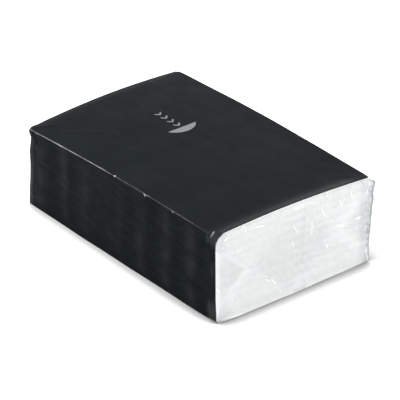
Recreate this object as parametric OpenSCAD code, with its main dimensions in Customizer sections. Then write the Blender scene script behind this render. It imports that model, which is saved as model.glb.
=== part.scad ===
// Pocket tissue pack, lying on its largest face.
// Ten folded tissues in one printed film wrapper with clear, envelope-folded ends.
// X runs along the pack, Y across it and Z up. The origin is under its centre, on the table.
// The tissues set the size: the wrapper, its folds and its print follow them.

/* [Tissues] */
// How many folded tissues the pack holds
tissue_count = 10; // [6:1:14]
// Length of one folded tissue
fold_l = 77.8; // [60:0.2:110]
// Width of one folded tissue
fold_w = 49; // [40:0.2:70]
// Thickness of the three plies together
paper_t = 0.162; // [0.12:0.002:0.3]
// Air between one layer of paper and the next
layer_gap = 0.03; // [0.02:0.002:0.06]

/* [Wrapper] */
// Thickness of the film
film_t = 0.12; // [0.06:0.01:0.2]
// Air between the soft stack and the film round it
fit_gap = 0.12; // [0.05:0.01:0.5]
// How far an end flap's free edge stops short of the opposite edge
flap_stop = 3; // [1.5:0.1:6]
// How far the front tuck reaches past its place, towards the rear one
tuck_shift = 3.4; // [0:0.1:5]
// How far below its corner an end flap's slanted side begins
slant_start = 3.6; // [0:0.1:8]
// Slope of an end flap's slanted sides, as an angle from level
slant_angle = 40; // [30:1:60]
// Width of the lapped seam under the pack
seam_w = 8; // [4:0.5:15]
// Radius of the four long edges
edge_r = 0.7; // [0.5:0.05:2]
// Radius of the edges round each end
end_r = 0.7; // [0.5:0.05:2]

/* [Soft shape] */
// How far the middle of the top stands above its corners
crown = 1.6; // [0:0.1:3]
// How far the rear left corner of the top sinks
corner_dip = 1.9; // [0:0.1:3]

/* [Print] */
// Thickness of a layer of ink
ink_t = 0.05; // [0.02:0.01:0.1]
// How far the black turns over the end edges, as an angle of their rounding
print_turn = 60; // [30:1:80]
// Radius of the half-moon's round side
moon_r = 5.5; // [4:0.1:9]
// Depth of the half-moon, from its straight side to its round side
moon_depth = 2.7; // [1:0.1:3.8]
// Place of the half-moon's straight side along the pack
moon_x = -10.3; // [-20:0.1:20]
// Place of the half-moon's middle across the pack
moon_y = 3.8; // [-12:0.1:12]
// Distance from one small mark to the next
mark_pitch = 2.7; // [2:0.1:5]
// Size of a small mark across the row
mark_size = 2; // [1:0.1:2.6]
// Breadth of a small mark's line
mark_line = 0.7; // [0.3:0.05:0.9]

/* [Hidden] */
// How the paper lies: layers in a strip, strips in a tissue, and how finely its bends are drawn
LAYERS = 4;
PANELS = 3;
PAPER_CELLS = 3;
BEND_STEPS = 3;
// How finely the wrapper's rounded edges and its faces are drawn
EDGE_STEPS = 4;
PRINT_STEPS = 3;
CAP_STEPS = 1;
TOP_CELLS = 8;
LENGTH_CELLS = 8;
MOON_FACETS = 64;
// Radius below which a rounding shrinks no further
MIN_R = 0.1;
// How many small marks stand in the row
MARKS = 4;

layer_pitch = paper_t + layer_gap;
strip_t = LAYERS * layer_pitch;
panel_pitch = strip_t + layer_gap;
tissue_pitch = PANELS * panel_pitch;
stack_h = tissue_count * tissue_pitch;

wall = ink_t + film_t;
// a square stack corner clears a rounded wrapper corner by this much more than its flat sides
corner_gap = max(edge_r, end_r) * (1 - sqrt(0.5));
side_gap = fit_gap + corner_gap;
corner_h = wall + film_t + stack_h + fit_gap + wall;
body_w = fold_w + 2 * (side_gap + wall);
wrap_l = fold_l + 2 * (side_gap + film_t);
flap_l = corner_h - flap_stop;
cap_inset = ink_t + end_r;
print_turns = [for (i = [1:PRINT_STEPS]) print_turn * i / PRINT_STEPS];
end_turns = concat(print_turns, [for (i = [1:CAP_STEPS]) print_turn + (90 - print_turn) * i / CAP_STEPS]);

function tissue_name(i) = str("tissue_", i < 10 ? "0" : "", i);

// Height of the pack's top over a point: crowned, with one corner sunk
function top_z(x, y) =
    let (u = 2 * x / wrap_l, v = 2 * y / body_w)
    corner_h + crown / 2 * (2 - u * u - v * v) - corner_dip * (1 - u) / 2 * pow((1 - v) / 2, 2);

// How far a rounding of radius r has come in, at a place out past the start of its turn
function drawn_in(r, out) = r - sqrt(max(0, r * r - pow(max(0, out), 2)));

// Points of a level arc, from one angle to another
function arc(r, from, to, steps) =
    [for (i = [0:steps]) let (a = from + (to - from) * i / steps) r * [cos(a), sin(a)]];

// The two triangles between neighbouring points of two rings
function ring_cell(at, k, n) =
    let (a = at + k, b = at + (k + 1) % n)
    [[a, a + n, b + n], [a, b + n, b]];

// One ring round the pack at x: rounded at its four corners and crowned on top.
// depth is how far it lies inside the pack's outside, and inset draws it in at the ends.
function pack_ring(x, depth, inset) =
    let (
        r = max(edge_r - depth - inset, MIN_R),
        side = body_w / 2 - depth - inset - r,
        low = depth + inset + r,
        high_left = top_z(x, -side) - low,
        high_right = top_z(x, side) - low
    )
    concat(
        [for (p = arc(r, 180, 270, EDGE_STEPS)) [x, p[0] - side, p[1] + low]],
        [for (p = arc(r, 270, 360, EDGE_STEPS)) [x, p[0] + side, p[1] + low]],
        [for (p = arc(r, 0, 90, EDGE_STEPS)) [x, p[0] + side, p[1] + high_right]],
        [for (i = [1:TOP_CELLS - 1])
            let (y = side * (1 - 2 * i / TOP_CELLS))
            [x, y, top_z(x, y) - depth - inset]],
        [for (p = arc(r, 90, 180, EDGE_STEPS)) [x, p[0] - side, p[1] + high_left]]
    );

// The rings along the whole pack. Those of the two ends follow the end edges through the given turns.
function pack_rings(depth, turns) =
    let (r = end_r + ink_t - depth, flat = wrap_l / 2 - end_r, last = len(turns) - 1)
    concat(
        [for (i = [last:-1:0]) pack_ring(-flat - r * sin(turns[i]), depth, r * (1 - cos(turns[i])))],
        [for (i = [0:LENGTH_CELLS]) pack_ring(flat * (2 * i / LENGTH_CELLS - 1), depth, 0)],
        [for (a = turns) pack_ring(flat + r * sin(a), depth, r * (1 - cos(a)))]
    );

// A closed surface through rings with equal counts of points, with flat ends
module skin_solid(rings) {
    n = len(rings[0]);
    last = (len(rings) - 1) * n;
    polyhedron(
        points = [for (ring = rings) each ring],
        faces = concat(
            [[for (k = [0:n - 1]) k]],
            [[for (k = [n - 1:-1:0]) last + k]],
            [for (j = [0:n:last - n], k = [0:n - 1]) each ring_cell(j, k, n)]
        )
    );
}

// A closed skin between two equal sets of rings, open through the middle
module tube_solid(outer, inner) {
    n = len(outer[0]);
    back = len(outer) * n;
    last = back - n;
    polyhedron(
        points = [for (ring = concat(outer, inner)) each ring],
        faces = concat(
            [for (j = [0:n:last - n], k = [0:n - 1]) each ring_cell(j, k, n)],
            [for (j = [0:n:last - n], k = [0:n - 1])
                each [for (f = ring_cell(back + j, k, n)) [f[2], f[1], f[0]]]],
            [for (k = [0:n - 1]) let (b = (k + 1) % n) each [[k, b, back + b], [k, back + b, back + k]]],
            [for (k = [0:n - 1])
                let (a = last + k, b = last + (k + 1) % n)
                each [[a, back + a, back + b], [a, back + b, b]]]
        )
    );
}

// The film: a tube round the stack, lapped underneath, with folded and sealed ends, all one piece
module film_wrapper() {
    color([0.93, 0.95, 0.96, 0.4]) {
        difference() {
            skin_solid(pack_rings(ink_t, end_turns));
            skin_solid(pack_rings(wall, end_turns));
            for (end = [-1, 1]) tuck_opening(end);
        }
        lapped_seam();
        for (end = [-1, 1]) {
            top_flap(end);
            bottom_flap(end);
        }
    }
}

// What the two side tucks, folded in first, leave open between them in the middle of an end
module tuck_opening(end) {
    gap = body_w - 2 * flap_l - tuck_shift;
    low = wall + end_r;
    high = corner_h - corner_dip - wall - end_r;
    if (gap > 0)
        translate([end * (wrap_l - film_t) / 2, tuck_shift / 2, (low + high) / 2])
            cube([2 * film_t, gap, high - low], center = true);
}

// The inner edge of the film, where the tube is lapped and sealed along its floor
module lapped_seam() {
    length = wrap_l - 2 * end_r - 2 * film_t;
    translate([-length / 2, -seam_w / 2, wall]) cube([length, seam_w, film_t]);
}

// Stands an outline drawn in Y and Z against an end, as the given layer of film outside the tucks
module against_end(end, layer) {
    translate([end * (wrap_l / 2 + (layer + 0.5) * film_t), 0, 0])
        rotate([90, 0, 90]) linear_extrude(film_t, center = true) children();
}

// A flap's outline. Its root lies along an edge of the end, from the rear side to the front one.
// way is 1 for a flap folded down and -1 for one folded up.
module flap_outline(root, way) {
    rear = root[0];
    front = root[len(root) - 1];
    fall = slant_start + rear[0] * tan(slant_angle);
    free_z = rear[1] - way * (flap_l - cap_inset);
    intersection() {
        polygon(concat(root, [
            front - [0, way * slant_start],
            [0, (rear[1] + front[1]) / 2 - way * fall],
            rear - [0, way * slant_start]
        ]));
        translate([-body_w, way > 0 ? free_z : free_z - 2 * body_w]) square(2 * body_w);
    }
}

// The flap folded up from the bottom, first of the two
module bottom_outline() {
    side = body_w / 2 - cap_inset;
    flap_outline([[side, cap_inset], [-side, cap_inset]], -1);
}

// The flap folded down from the top, whose root follows the crowned edge
module top_outline(end) {
    side = body_w / 2 - cap_inset;
    flap_outline([for (i = [0:TOP_CELLS])
        let (y = side * (1 - 2 * i / TOP_CELLS))
        [y, top_z(end * wrap_l / 2, y) - cap_inset]], 1);
}

module bottom_flap(end) {
    against_end(end, 0) bottom_outline();
}

// The top flap is folded last, so it steps out over the bottom flap and lies against the tucks elsewhere
module top_flap(end) {
    against_end(end, 0) difference() {
        top_outline(end);
        bottom_outline();
    }
    against_end(end, 1) intersection() {
        top_outline(end);
        offset(delta = 2 * film_t) bottom_outline();
    }
}

// The black ink round the four long faces, turned over the end edges
module black_print() {
    color([0.13, 0.15, 0.16]) tube_solid(pack_rings(0, print_turns), pack_rings(ink_t, print_turns));
}

// The silver half-moon and the row of small marks, in one layer of ink on the black
module tab_print() {
    color([0.62, 0.64, 0.65]) intersection() {
        translate([0, 0, corner_h / 2]) linear_extrude(corner_h) {
            half_moon();
            for (i = [1:MARKS]) small_mark(moon_x - mark_pitch * i);
        }
        tube_solid(pack_rings(-ink_t, print_turns), pack_rings(0, print_turns));
    }
}

module half_moon() {
    translate([moon_x + moon_depth - moon_r, moon_y]) difference() {
        circle(moon_r, $fn = MOON_FACETS);
        translate([-2 * moon_r, -1.5 * moon_r]) square([3 * moon_r - moon_depth, 3 * moon_r]);
    }
}

// A small chevron that points at the half-moon
module small_mark(x) {
    half = mark_size / 2;
    translate([x, moon_y]) polygon([
        [0, half], [mark_line, half], [half + mark_line, 0],
        [mark_line, -half], [0, -half], [half, 0]
    ]);
}

// Paper that runs straight, as points of [place, height, direction]
function run(from, to, z) =
    [for (i = [0:PAPER_CELLS]) [from + (to - from) * i / PAPER_CELLS, z, to > from ? 0 : 180]];

// Paper that turns back from one height to another, without the turn's two ends.
// way is 1 where it bulges to the far side and -1 where it bulges to the near side.
function bend(at, from_z, to_z, way) =
    let (mid = (from_z + to_z) / 2, r = (to_z - from_z) / 2)
    [for (i = [1:BEND_STEPS - 1])
        let (a = 180 * i / BEND_STEPS, turned = sign(r) * a)
        [at + way * abs(r) * sin(a), mid - r * cos(a), way > 0 ? turned : 180 - turned]];

// Across the pack: the sheet folded in half and in half again, so that two bends nest in one side
function quarter_fold() =
    let (
        z = [for (k = [0:LAYERS - 1]) (k + 0.5) * layer_pitch],
        left = (paper_t - fold_w) / 2 + 1.5 * layer_pitch,
        right = (fold_w - paper_t - layer_pitch) / 2,
        free = fold_w / 2 - layer_gap
    )
    concat(
        run(free, left, z[0]), bend(left, z[0], z[3], -1),
        run(left, right, z[3]), bend(right, z[3], z[2], 1),
        run(right, left, z[2]), bend(left, z[2], z[1], -1),
        run(left, free, z[1])
    );

// Along the pack: the folded strip laid to and fro in three panels
function three_fold() =
    let (
        z = [for (k = [0:PANELS - 1]) (k + 0.5) * panel_pitch],
        reach = (fold_l - panel_pitch - strip_t) / 2,
        free = fold_l / 2 - layer_gap
    )
    concat(
        run(-free, reach, z[0]), bend(reach, z[0], z[1], 1),
        run(reach, -reach, z[1]), bend(-reach, z[1], z[2], -1),
        run(-reach, free, z[2])
    );

// How far the film's inside comes up from its floor, and down from its top, near its rounded edges
function inside_rise(x, y) =
    let (
        inset = drawn_in(end_r - film_t, abs(x) - (wrap_l / 2 - end_r)),
        r = max(edge_r - wall - inset, MIN_R)
    )
    inset + drawn_in(r, abs(y) - (body_w / 2 - wall - inset - r));

// A point of the stack at a height in its unsqueezed state, pressed to the soft shape of the wrapper
function pressed(x, y, z) =
    let (
        low = wall + max(film_t, inside_rise(x, y)),
        high = top_z(x, y) - wall - max(fit_gap, inside_rise(x, y))
    )
    [x, y, low + z / stack_h * (high - low)];

// A point on one face of the paper, at s on its section and p on its way along the pack
function paper_point(s, p, face, base) =
    let (
        y = s[0] - face * paper_t / 2 * sin(s[2]),
        off = s[1] + face * paper_t / 2 * cos(s[2]) - strip_t / 2
    )
    pressed(p[0] - off * sin(p[2]), y, base + p[1] + off * cos(p[2]));

// One folded tissue, counted from the bottom
module tissue(i) {
    section = quarter_fold();
    way = three_fold();
    base = (i - 1) * tissue_pitch;
    n = len(section);
    ring = 2 * n;
    last = (len(way) - 1) * ring;
    points = [for (p = way) each concat(
        [for (s = section) paper_point(s, p, 1, base)],
        [for (k = [n - 1:-1:0]) paper_point(section[k], p, -1, base)]
    )];
    color([0.95, 0.95, 0.95]) polyhedron(
        points = points,
        faces = concat(
            [for (k = [0:n - 2]) each [[k, ring - 2 - k, k + 1], [k, ring - 1 - k, ring - 2 - k]]],
            [for (k = [0:n - 2])
                let (a = last + k, b = last + ring - 1 - k)
                each [[a, b - 1, b], [a, a + 1, b - 1]]],
            [for (j = [0:ring:last - ring], k = [0:ring - 1]) each paper_cell(points, j, k, ring)]
        )
    );
}

// The two triangles of one cell of paper, split the same way across the pack in every layer
function paper_cell(points, at, k, ring) =
    let (
        a = at + k,
        b = at + (k + 1) % ring,
        slant = (points[a + ring][0] - points[a][0]) * (points[b][1] - points[a][1])
    )
    slant > 0
        ? [[a, b + ring, a + ring], [a, b, b + ring]]
        : [[a, b, a + ring], [b, b + ring, a + ring]];

film_wrapper();
black_print();
tab_print();
for (i = [1:tissue_count])
    tissue(i);
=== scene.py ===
import math
import random

import bpy
import numpy as np
from mathutils import Matrix, Vector


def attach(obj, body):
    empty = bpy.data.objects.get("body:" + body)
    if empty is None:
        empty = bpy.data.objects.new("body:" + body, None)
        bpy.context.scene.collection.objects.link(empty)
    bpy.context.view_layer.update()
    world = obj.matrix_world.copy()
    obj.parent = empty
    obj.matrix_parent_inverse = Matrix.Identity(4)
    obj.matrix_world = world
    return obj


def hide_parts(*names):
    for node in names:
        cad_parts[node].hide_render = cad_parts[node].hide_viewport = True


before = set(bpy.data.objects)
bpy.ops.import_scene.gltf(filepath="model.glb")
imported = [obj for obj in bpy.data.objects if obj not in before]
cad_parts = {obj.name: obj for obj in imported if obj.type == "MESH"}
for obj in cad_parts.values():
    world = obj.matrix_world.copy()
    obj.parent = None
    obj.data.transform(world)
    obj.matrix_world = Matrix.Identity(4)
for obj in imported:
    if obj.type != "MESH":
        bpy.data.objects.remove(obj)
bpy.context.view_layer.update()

# The stack of folded tissues. Each is one soft three-ply sheet, folded in four across
# the pack and then laid to and fro in three along it. The sheets are pressed together
# by the wrapper, which gives them its soft shape.
MM = 0.001
TISSUES = 10
FOLD_L, FOLD_W = 77.8, 49.0
PAPER_T, LAYER_GAP = 0.162, 0.03
LAYERS, PANELS = 4, 3
LAYER_PITCH = PAPER_T + LAYER_GAP
STRIP_T = LAYERS * LAYER_PITCH
PANEL_PITCH = STRIP_T + LAYER_GAP
TISSUE_PITCH = PANELS * PANEL_PITCH
STACK_H = TISSUES * TISSUE_PITCH

# the plain pack's half sizes and its top, which is crowned, sunk towards its near left corner
# but puffed at that corner's tip, and low at the rear
HALF_L, HALF_W = 39.52, 24.995
CORNER_H = 24.52
CROWN, CORNER_DIP, REAR_SAG = 1.6, 1.9, 0.28
TIP_PUFF, TIP_PLACE, TIP_REACH = 0.35, (-38.9, -23.7), (1.2, 1.4)
# the stack inside: the film's wall, the room over and under the stack and at its ends, how
# far its ends swell, the radius of its edges, and how far in from the film its corners lie
WALL = 0.17
STACK_ROOM, END_ROOM, END_SWELL = 0.14, 0.15, 0.4
STACK_CORNER, CORNER_INSET = 0.2, 0.3


def smooth(t):
    """A soft step from 0 to 1."""
    t = np.clip(t, 0.0, 1.0)
    return t * t * (3 - 2 * t)


def top_height(x, y):
    """Height of the pack's top over a place."""
    u, v = x / HALF_L, y / HALF_W
    crowned = CORNER_H + CROWN / 2 * (2 - u * u - v * v)
    dip = CORNER_DIP * (1 - u) / 2 * ((1 - v) / 2) ** 2
    sag = REAR_SAG * smooth((u + 0.5) / 1.3) * smooth((v + 0.3) / 1.3)
    tip_x, tip_y = (x - TIP_PLACE[0]) / TIP_REACH[0], (y - TIP_PLACE[1]) / TIP_REACH[1]
    return crowned - dip - sag + TIP_PUFF * np.exp(-(tip_x ** 2) - tip_y ** 2)


# the top's four corners are blunt: their place by signs, and the radius that they round to
BLUNT_CORNERS = [(1, -1, 2.2), (-1, -1, 0.45), (-1, 1, 0.8), (1, 1, 0.45)]


def blunted(points, inset=0.0):
    """Points with the top's corners rounded off, for a layer that lies inset from the film."""
    points = points.copy()
    for way_x, way_y, radius in BLUNT_CORNERS:
        ways = np.array((way_x, way_y, 1.0))
        tip = np.array((HALF_L, HALF_W, top_height(way_x * HALF_L, way_y * HALF_W))) - inset
        out = points * ways - (tip - radius)
        share = np.clip(out / radius, 0, 1).prod(axis=-1)
        near = smooth(1.5 * share ** 0.6)[..., None]
        far = np.linalg.norm(out, axis=-1, keepdims=True)
        drawn = out * np.minimum(radius / np.maximum(far, 0.01), 1)
        points += near * (drawn - out) * ways
    return points


# how far the soft pack has slumped and been pinched, in mm outward: the foot of the near
# long side by x, the turn in under it by x, the foot of the +X end by y, and the near edge
# of the -X end by z
NEAR_FOOT = ((-39, -17, 9), (0.25, 0.25, 0.0))
NEAR_HEM = ((9, 25, 33, 36, 38), (0.0, 0.2, 0.3, 0.5, 0.85))
WINDOW_FOOT = ((-25, -23.8, -20, 2, 9, 16, 22, 25), (0.1, 0.55, 1.1, 1.2, 1.0, 0.9, 0.6, 0.5))
PINCHED_EDGE = (
    (0, 5.5, 9, 12, 16, 17.5, 19.5, 20.6, 21.5, 24.5),
    (0.6, 0.45, 0.05, -0.2, -0.2, -0.45, -0.9, -1.0, -0.3, -0.2),
)
FAR_FOOT = 0.35


def leaned(points):
    """Places on the plain pack, moved to where the soft pack lies."""
    x, y, z = points[..., 0], points[..., 1], points[..., 2]
    low = smooth((7 - z) / 7)
    near = smooth((-y - 19.5) / 5)
    pinch = np.interp(z, *PINCHED_EDGE) * near + FAR_FOOT * low * (1 - near)
    moved = points.copy()
    moved[..., 0] += np.interp(y, *WINDOW_FOOT) * low * smooth((x - 31) / 8)
    moved[..., 0] -= pinch * smooth((-x - 33) / 6)
    moved[..., 1] -= np.interp(x, *NEAR_FOOT) * low * smooth((-y - 12) / 12)
    moved[..., 1] += np.interp(x, *NEAR_HEM) * smooth((1.2 - z) / 1.2) * smooth((-y - 18) / 6)
    moved[..., 2] = np.maximum(z, 0)
    return moved


def ripple(a, b, seed, reach, waves=14):
    """Smooth random waves over a surface, about 1 high, with lengths near reach."""
    draw = random.Random(seed)
    total = np.zeros(np.broadcast(a, b).shape)
    for _ in range(waves):
        turn = draw.uniform(0, 2 * math.pi)
        pace = 2 * math.pi / (reach * draw.uniform(0.6, 1.7))
        phase = draw.uniform(0, 2 * math.pi)
        total = total + np.sin(pace * (a * math.cos(turn) + b * math.sin(turn)) + phase)
    return total / math.sqrt(waves / 2)


def drawn_in(radius, out):
    """How far a rounding has come in, at a place out past the start of its turn."""
    out = np.clip(out, 0, radius)
    return radius - np.sqrt(radius * radius - out * out)


def run(start, end, height, cells):
    """Paper that runs straight, as rows of place, height and direction."""
    direction = 0.0 if end > start else math.pi
    return [(start + (end - start) * i / cells, height, direction) for i in range(cells + 1)]


def bend(at, low, high, way, steps):
    """Paper that turns back from one height to another, without the turn's two ends."""
    middle, radius = (low + high) / 2, (high - low) / 2
    rows = []
    for i in range(1, steps):
        a = math.pi * i / steps
        turned = a if radius > 0 else -a
        rows.append((
            at + way * abs(radius) * math.sin(a),
            middle - radius * math.cos(a),
            turned if way > 0 else math.pi - turned,
        ))
    return rows


def quarter_fold(free_edge):
    """The sheet's section across the pack: folded in half and in half again."""
    z = [(k + 0.5) * LAYER_PITCH for k in range(LAYERS)]
    left = (PAPER_T - FOLD_W) / 2 + 1.5 * LAYER_PITCH
    right = (FOLD_W - PAPER_T - LAYER_PITCH) / 2
    cells, steps = 16, 5
    return (
        run(free_edge, left, z[0], cells) + bend(left, z[0], z[3], -1, steps)
        + run(left, right, z[3], cells) + bend(right, z[3], z[2], 1, steps)
        + run(right, left, z[2], cells) + bend(left, z[2], z[1], -1, steps)
        + run(left, free_edge, z[1], cells)
    )


def turn_back(at, middle, radius, way, square, steps):
    """A squared half turn of the strip, without its two ends."""
    rows = []
    for i in range(1, steps):
        a = math.pi * i / steps
        up = math.cos(a)
        rows.append((
            at + way * radius * abs(math.sin(a)) ** square,
            middle - radius * math.copysign(abs(up) ** square, up),
        ))
    return rows


def three_fold(offset, near_free, far_free):
    """One layer's way along the pack, at its offset from the strip's middle: to, fro and to.
    The turns are squared off, because the wrapper's ends press on them."""
    z = [(k + 0.5) * PANEL_PITCH for k in range(PANELS)]
    reach = (FOLD_L - PANEL_PITCH - STRIP_T) / 2
    square = 0.16
    steps = 8
    stations = (-1.0, -0.8, -0.4, 0.0, 0.4, 0.8, 1.0)
    way = [(reach * s if s > -1 else near_free, z[0] + offset) for s in stations]
    way += turn_back(reach, (z[0] + z[1]) / 2, PANEL_PITCH / 2 - offset, 1, square, steps)
    way += [(-reach * s, z[1] - offset) for s in stations]
    way += turn_back(-reach, (z[1] + z[2]) / 2, PANEL_PITCH / 2 + offset, -1, square, steps)
    way += [(reach * s if s < 1 else far_free, z[2] + offset) for s in stations]
    return way


def pressed(x, y, z):
    """Places of the unsqueezed stack, pressed into the soft shape inside the wrapper."""
    inset = drawn_in(STACK_CORNER, np.abs(x) - (HALF_L - END_ROOM - STACK_CORNER))
    radius = np.maximum(STACK_CORNER - inset, 0.1)
    rise = inset + drawn_in(radius, np.abs(y) - (HALF_W - WALL - inset - radius))
    low = WALL + STACK_ROOM + rise
    high = top_height(x, y) - WALL - STACK_ROOM - rise
    near_slack = np.where(y < 0, 0.3, 0.0) * smooth((np.abs(y) - 20) / 5) ** 2
    slack = near_slack + 0.03 * ripple(y, z, 5, 9)
    share = smooth((np.abs(x) - 20) / 19)
    along = x + np.sign(x) * (END_SWELL * share - slack * share)
    places = np.stack([along, y, low + z / STACK_H * (high - low)], axis=-1)
    return leaned(blunted(places, CORNER_INSET))


def faces_inward(grid, centre=(0, 0, 12)):
    """Whether the middle cell of rows and columns of points looks at the pack's centre."""
    i, j = (grid.shape[0] - 1) // 2, (grid.shape[1] - 1) // 2
    out = np.cross(grid[i, j + 1] - grid[i, j], grid[i + 1, j] - grid[i, j])
    return float(np.dot(out, grid[i, j] - np.array(centre))) < 0


def grid_faces(rows, columns, start=0, closed=False, flip=False):
    """Four-sided faces over rows and columns of points."""
    faces = []
    for i in range(rows - 1):
        for j in range(columns if closed else columns - 1):
            a, b = start + i * columns + j, start + i * columns + (j + 1) % columns
            face = (a, b, b + columns, a + columns)
            faces.append(face[::-1] if flip else face)
    return faces


def new_piece(name, points, faces, material, smooth_faces=True):
    """A mesh object from points in mm."""
    mesh = bpy.data.meshes.new(name)
    mesh.from_pydata([tuple(p) for p in np.asarray(points) * MM], [], faces)
    mesh.validate()
    mesh.polygons.foreach_set("use_smooth", [smooth_faces] * len(mesh.polygons))
    mesh.materials.append(material)
    piece = bpy.data.objects.new(name, mesh)
    bpy.context.scene.collection.objects.link(piece)
    return piece


def feed(node, values):
    """Gives a node's sockets, by name or number, plain values or links from other sockets."""
    for socket, value in values.items():
        if isinstance(value, bpy.types.NodeSocket):
            node.id_data.links.new(value, node.inputs[socket])
        else:
            node.inputs[socket].default_value = value


def add_node(nodes, kind, values=None, **settings):
    """A node with its settings and with what its sockets are fed."""
    node = nodes.new(kind)
    for key, value in settings.items():
        setattr(node, key, value)
    feed(node, values or {})
    return node


def reckoned(nodes, operation, *values, clamp=False):
    """The result of a Math node on numbers or sockets."""
    node = add_node(nodes, "ShaderNodeMath", dict(enumerate(values)), operation=operation, use_clamp=clamp)
    return node.outputs["Value"]


def vectored(nodes, operation, *values, result="Vector"):
    """The result of a Vector Math node on places or sockets."""
    node = add_node(nodes, "ShaderNodeVectorMath", dict(enumerate(values)), operation=operation)
    return node.outputs[result]


def mapped(nodes, value, low, high, to_low=0.0, to_high=1.0, **settings):
    """A value spread from one range to another, and held at its ends."""
    values = {"Value": value, "From Min": low, "From Max": high, "To Min": to_low, "To Max": to_high}
    return add_node(nodes, "ShaderNodeMapRange", values, **settings).outputs["Result"]


def new_material(name, **plain):
    """A material with its Principled shader's plain values, as (material, nodes, shader)."""
    material = bpy.data.materials.new(name)
    material.use_nodes = True
    nodes = material.node_tree.nodes
    shader = nodes["Principled BSDF"]
    feed(shader, {socket.replace("_", " "): value for socket, value in plain.items()})
    return material, nodes, shader


def new_group(name, inputs, output):
    """A node group with inputs, each a name, kind and plain value, and one output that is a number."""
    group = bpy.data.node_groups.new(name, "ShaderNodeTree")
    for socket, kind, value in inputs:
        group.interface.new_socket(socket, in_out="INPUT", socket_type=kind).default_value = value
    group.interface.new_socket(output, in_out="OUTPUT", socket_type="NodeSocketFloat")
    return group, group.nodes, group.nodes.new("NodeGroupInput").outputs


def soft_spots_group():
    """Node group: soft random spots of one size on the object, put out from low to high."""
    group, nodes, given = new_group("soft_spots", [
        ("Size mm", "NodeSocketFloat", 5.0),
        ("Stretch", "NodeSocketVector", (1.0, 1.0, 1.0)),
        ("Low", "NodeSocketFloat", 0.0),
        ("High", "NodeSocketFloat", 1.0),
    ], "Value")
    place = nodes.new("ShaderNodeTexCoord").outputs["Object"]
    noise = add_node(nodes, "ShaderNodeTexNoise", {
        "Vector": vectored(nodes, "MULTIPLY", place, given["Stretch"]),
        "Scale": reckoned(nodes, "DIVIDE", 1 / MM, given["Size mm"]),
        "Detail": 3.0,
        "Roughness": 0.55,
    })
    value = mapped(nodes, noise.outputs["Fac"], 0.3, 0.7, given["Low"], given["High"])
    add_node(nodes, "NodeGroupOutput", {"Value": value})
    return group


soft_spots = soft_spots_group()


def spots(nodes, size, low, high, stretch=(1.0, 1.0, 1.0)):
    """The soft_spots group in a material, with its own values."""
    values = {"Size mm": size, "Stretch": stretch, "Low": low, "High": high}
    return add_node(nodes, "ShaderNodeGroup", values, node_tree=soft_spots).outputs["Value"]


def colour_between(nodes, share, first, second):
    """A colour that goes with share from the first, a colour or a socket, to the second."""
    start = first if isinstance(first, bpy.types.NodeSocket) else (*first, 1)
    values = {"Factor": share, "A": start, "B": (*second, 1)}
    return add_node(nodes, "ShaderNodeMix", values, data_type="RGBA").outputs["Result"]


def bumped(nodes, height, distance_mm):
    """A Bump node's normal for a height from 0 to 1."""
    values = {"Strength": 1.0, "Distance": distance_mm * MM, "Height": height}
    return add_node(nodes, "ShaderNodeBump", values).outputs["Normal"]


tissue_paper, nodes, shader = new_material("tissue_paper", Roughness=0.95, Specular_IOR_Level=0.1)
feed(shader, {
    "Base Color": colour_between(nodes, spots(nodes, 3.0, 0.0, 1.0), (0.87, 0.875, 0.88), (0.9, 0.9, 0.9)),
    "Normal": bumped(nodes, spots(nodes, 0.5, 0.0, 1.0), 0.06),
})

for number in range(1, TISSUES + 1):
    draw = random.Random(number)
    base = (number - 1) * TISSUE_PITCH
    section = quarter_fold(FOLD_W / 2 - draw.uniform(0.1, 0.8))
    near_free = -FOLD_L / 2 + draw.uniform(0.02, 0.14)
    far_free = FOLD_L / 2 - draw.uniform(0.02, 0.14)
    outline = [(s, 1) for s in section] + [(s, -1) for s in reversed(section)]
    columns = []
    for (across, height, direction), face in outline:
        y = across - face * PAPER_T / 2 * math.sin(direction)
        offset = height + face * PAPER_T / 2 * math.cos(direction) - STRIP_T / 2
        columns.append([(x, y, base + z) for x, z in three_fold(offset, near_free, far_free)])
    cloud = np.array(columns).transpose(1, 0, 2)
    rows, ring_count = cloud.shape[:2]
    points = pressed(cloud[..., 0], cloud[..., 1], cloud[..., 2]).reshape(-1, 3)
    faces = grid_faces(rows, ring_count, closed=True)
    half = ring_count // 2
    for start, flip in ((0, False), ((rows - 1) * ring_count, True)):
        for k in range(half - 1):
            face = (start + k, start + ring_count - 1 - k, start + ring_count - 2 - k, start + k + 1)
            faces.append(face[::-1] if flip else face)
    node = f"tissue_{number:02d}"
    tissue = new_piece(f"folded_{node}", points, faces, tissue_paper)
    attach(tissue, "root")
    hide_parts(node)

# The printed body of the wrapper. It is one tube of thin plastic film with black ink on
# it, drawn tight round the stack and sealed in a lap underneath. It creases sharply at
# the long edges, and its faces are puckered by the sealing of the ends.
# the radii of the long edges and the end edges, how far round the end edges the ink runs on
# at the top and near side and at the foot and rear, and the breadth of the lap
EDGE_R, END_R = 0.26, 0.34
SIDE_PRINT_TURN, FOOT_PRINT_TURN = math.radians(62), math.radians(26)
LAP_W = 8
# the mesh: rows round an end's edge and of the print on it, cells of half a corner's arc, of
# the four edges of a ring and along the pack, and the least radius of an inner ring
ROUND_ROWS, PRINT_ROWS = 12, 4
ARC_CELLS = 4
EDGE_CELLS = (110, 60, 96, 60)
LENGTH_CELLS = 200
MIN_R = 0.05
BOTTOM, REAR, TOP, FRONT = range(4)


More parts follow.
